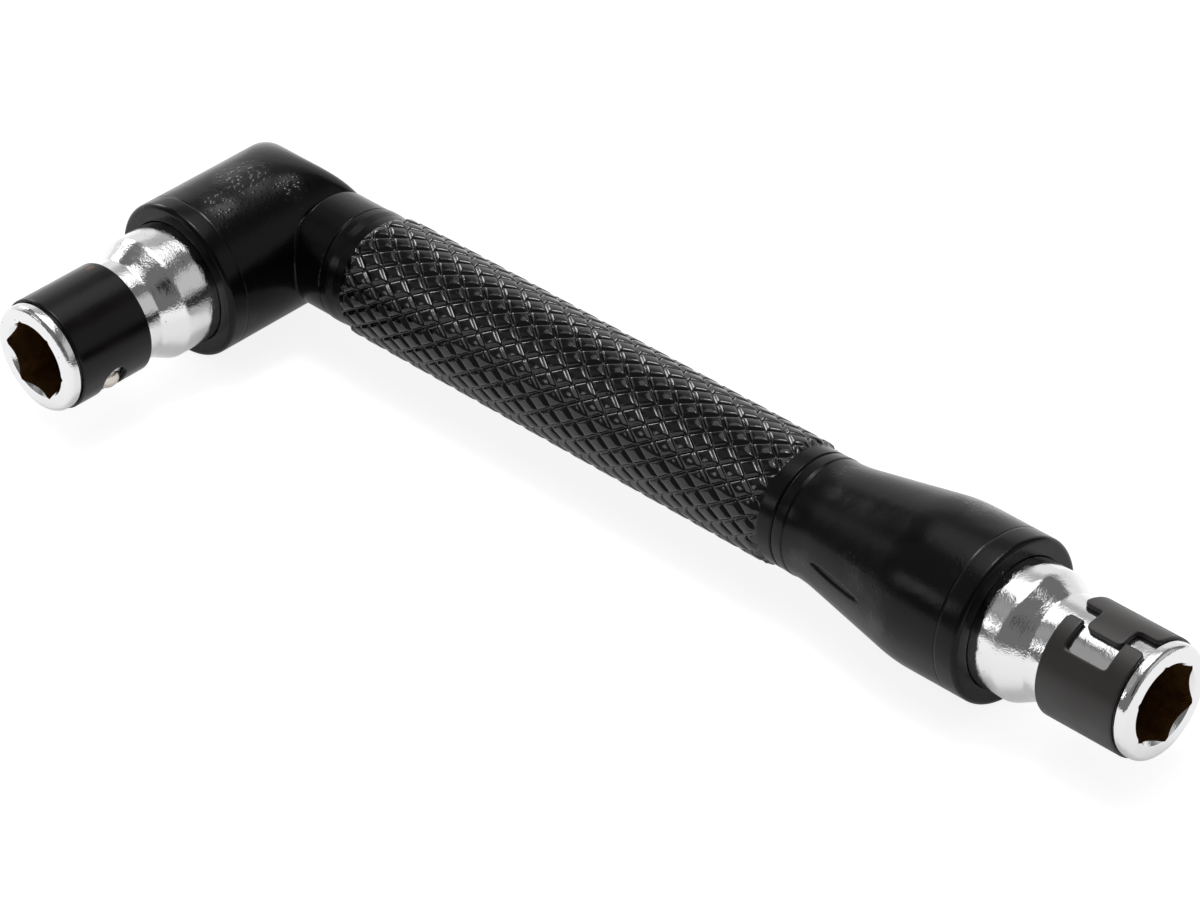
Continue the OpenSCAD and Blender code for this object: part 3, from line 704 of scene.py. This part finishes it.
# Steel browned by heat treatment, where the plate doesn't reach: the hole's walls look like cloudy bronze
bronze = bpy.data.materials.new("heat-browned steel in the broached hole")
bronze.use_nodes = True
tree = bronze.node_tree
tree.nodes.clear()
at = add(tree, "ShaderNodeTexCoord").outputs["Object"]
streak = add(tree, "ShaderNodeTexNoise", {"Vector": at, "Scale": 1.3 * metre, "Detail": 4.0}).outputs[0]
tone = add(tree, "ShaderNodeMix", {0: streak, 6: linear("#60492a"), 7: linear("#c4985a")},
           data_type="RGBA").outputs[2]
scrape = add(tree, "ShaderNodeBump", {
    "Height": streak, "Distance": 0.03 / metre, "Strength": 1.0}).outputs[0]
shader = add(tree, "ShaderNodeBsdfPrincipled", {
    "Base Color": tone, "Metallic": 0.85, "Roughness": 0.22, "Normal": scrape})
add(tree, "ShaderNodeOutputMaterial", {"Surface": shader.outputs[0]})
head_turn, tail_turn = -6.3, -88.2
for end, turned, seat in (("head", head_turn, on_head_axis), ("tail", tail_turn, on_tail_axis)):
    points, faces = turn(rings, around)
    socket = as_piece(end + "_bit_socket", [(seat(spun(points, turned)), faces)])
    socket.data.materials.append(chrome)
    socket.data.materials.append(bronze)
    for polygon in socket.data.polygons[len(faces) - browned_rings * len(around):]:
        polygon.material_index = 1
    crease(socket, 35)
    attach(socket, "tool")
    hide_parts(end + "_socket")


# Spring bands
# A strip of spring steel, blackened, punched with a tab, a fork and a window, and rolled round the
# socket's seat so that the tab lies in the fork. It holds the detent ball down.
band_inside, band_outside, band_from, band_to = 4.66, 5.14, 6.4, 14.0
band_middle = (band_inside + band_outside) / 2
# The strip's ends, fork and tab, by degrees round the band and stations along the socket
strip_from, strip_to = -206, 134.5
fork_from, fork_to, fork_low, fork_high = -230, -174.5, 7.9, 12.1
tab_from, tab_to, tab_low, tab_high = 120, 160, 8.4, 11.95
strip_corner, fork_corner, tab_corner, tab_fillet, strip_edge = 0.5, 0.4, 0.55, 0.3, 0.12
# The window, by its middle and its half length and half width in millimetres
window_angle, ball_station = -60, 10.352
window_long, window_wide, window_corner = 2.25, 1.19, 1.18


def plate_form(u, t, low_u, high_u, low_t, high_t, r):
    """Field of a flat plate with rounded corners."""
    du, dt = np.maximum(low_u - u, u - high_u) + r, np.maximum(low_t - t, t - high_t) + r
    return np.minimum(np.maximum(du, dt), 0) + np.hypot(np.maximum(du, 0), np.maximum(dt, 0)) - r


def strip_form(u, t, r):
    """Field of the band unrolled: u runs round it in millimetres, t along the socket and r outwards."""
    degree = math.radians(band_outside)
    strip = plate_form(u, t, strip_from * degree, strip_to * degree, band_from, band_to, strip_corner)
    fork = plate_form(u, t, fork_from * degree, fork_to * degree, fork_low, fork_high, fork_corner)
    tab = plate_form(u, t, tab_from * degree, tab_to * degree, tab_low, tab_high, tab_corner)
    window_u = window_angle * degree
    window = plate_form(u, t, window_u - window_long, window_u + window_long,
                        ball_station - window_wide, ball_station + window_wide, window_corner)
    flat = np.maximum(np.maximum(join(strip, tab, tab_fillet), -fork), -window)
    thick = abs(r - band_middle) - (band_outside - band_inside) / 2
    return meet(flat, thick, strip_edge)


strip_grain, sheet_grain = 0.085, 0.06
grid_round, grid_along_band, grid_through = (-18.8, 14.7), (6.2, 14.25), (4.5, 5.3)
points, faces = skin(
    strip_form, np.arange(*grid_round, strip_grain), np.arange(*grid_along_band, strip_grain),
    np.arange(*grid_through, sheet_grain))
points = settle(strip_form, points)
angle = points[:, 0] / band_outside
rolled = np.column_stack([points[:, 2] * np.cos(angle), points[:, 2] * np.sin(angle), points[:, 1]])
# Black oxide on spring steel: a hard brown-black skin that shines at a slant. The head's band is oily, the
# tail's duller, and the head's has a rusty nick at its back edge
nick_turn, nick_inside = 104, 0.9
nick = place(on_head_axis(spun(np.array([[band_outside, 0, band_from + nick_inside]]), nick_turn))[0])
nick_far, nick_near, nick_ragged = 0.9 / metre, 0.7 / metre, 0.8 / metre
head_window, tail_window = head_turn - 31.2, tail_turn - 23.3
for end, window_turn, seat, low, high, level, dark, light in (
    ("head", head_window, on_head_axis, 0.18, 0.26, 0.2, "#080606", "#130f0e"),
    ("tail", tail_window, on_tail_axis, 0.38, 0.48, 0.5, "#1d1a18", "#272220"),
):
    oxide = bpy.data.materials.new("black oxide on spring steel, " + end)
    oxide.use_nodes = True
    tree = oxide.node_tree
    tree.nodes.clear()
    at = add(tree, "ShaderNodeTexCoord").outputs["Object"]
    oil = add(tree, "ShaderNodeTexNoise", {"Vector": at, "Scale": 0.35 * metre, "Detail": 3.0}).outputs[0]
    grit = add(tree, "ShaderNodeTexNoise", {"Vector": at, "Scale": 3.0 * metre, "Detail": 3.0}).outputs[0]
    satin = add(tree, "ShaderNodeMapRange", {0: oil, 1: 0.3, 2: 0.7, 3: low, 4: high}).outputs[0]
    tone = add(tree, "ShaderNodeMix", {0: oil, 6: linear(dark), 7: linear(light)},
               data_type="RGBA").outputs[2]
    away = add(tree, "ShaderNodeVectorMath", {0: at, 1: nick.tolist()}, operation="DISTANCE")
    ragged = add(tree, "ShaderNodeMath", {0: grit, 1: nick_ragged, 2: away.outputs["Value"]},
                 operation="MULTIPLY_ADD").outputs[0]
    rusty = add(tree, "ShaderNodeMapRange", {
        0: ragged, 1: nick_far, 2: nick_near, 3: 0.0, 4: 1.0}).outputs[0]
    tint = add(tree, "ShaderNodeMix", {0: rusty, 6: tone, 7: linear("#573324")}, data_type="RGBA").outputs[2]
    bump = add(tree, "ShaderNodeBump", {
        "Height": grit, "Distance": 0.006 / metre, "Strength": 1.0}).outputs[0]
    shader = add(tree, "ShaderNodeBsdfPrincipled", {
        "Base Color": tint, "Roughness": satin, "IOR": 1.5, "Specular IOR Level": level, "Normal": bump})
    add(tree, "ShaderNodeOutputMaterial", {"Surface": shader.outputs[0]})
    band = as_piece(end + "_spring_band", [(seat(spun(rolled, window_turn - window_angle)), faces)])
    crease(band, 80)
    band.data.materials.append(oxide)
    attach(band, "tool")
    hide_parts(end + "_sleeve")


# Detent balls
# Hardened steel balls, ground and polished. Each sits through the socket's wall, which has no hole cut for
# it here, under its spring band, and shows in the band's window.
ball_radius, ball_out, ball_segments = 1.2, 4.1, 32
slopes = np.radians(np.linspace(0, 180, ball_segments + 1))
ball_rings = [(-ball_radius * math.cos(a), ball_radius * math.sin(a)) for a in slopes]
ball_rings[0], ball_rings[-1] = (-ball_radius, 0), (ball_radius, 0)
# Polished bearing steel: a small warm mirror, dulled here and there by wear
steel = bpy.data.materials.new("polished bearing steel")
steel.use_nodes = True
tree = steel.node_tree
tree.nodes.clear()
at = add(tree, "ShaderNodeTexCoord").outputs["Object"]
wear = add(tree, "ShaderNodeTexNoise", {"Vector": at, "Scale": 2.0 * metre, "Detail": 3.0}).outputs[0]
dull = add(tree, "ShaderNodeMapRange", {0: wear, 1: 0.3, 2: 0.7, 3: 0.18, 4: 0.34}).outputs[0]
shader = add(tree, "ShaderNodeBsdfPrincipled", {
    "Base Color": linear("#cfc8bf"), "Metallic": 1.0, "Roughness": dull})
add(tree, "ShaderNodeOutputMaterial", {"Surface": shader.outputs[0]})
to_next_flat = 30
for end, turned, seat in (("head", head_turn, on_head_axis), ("tail", tail_turn, on_tail_axis)):
    points, faces = turn(ball_rings, np.radians(np.arange(0, 360, 7.5)))
    points = spun(points + [ball_out, 0, ball_station], turned - to_next_flat)
    ball = as_piece(end + "_detent_ball", [(seat(points), faces)])
    crease(ball, 80)
    ball.data.materials.append(steel)
    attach(ball, end + "_detent")
    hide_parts(end + "_ball")
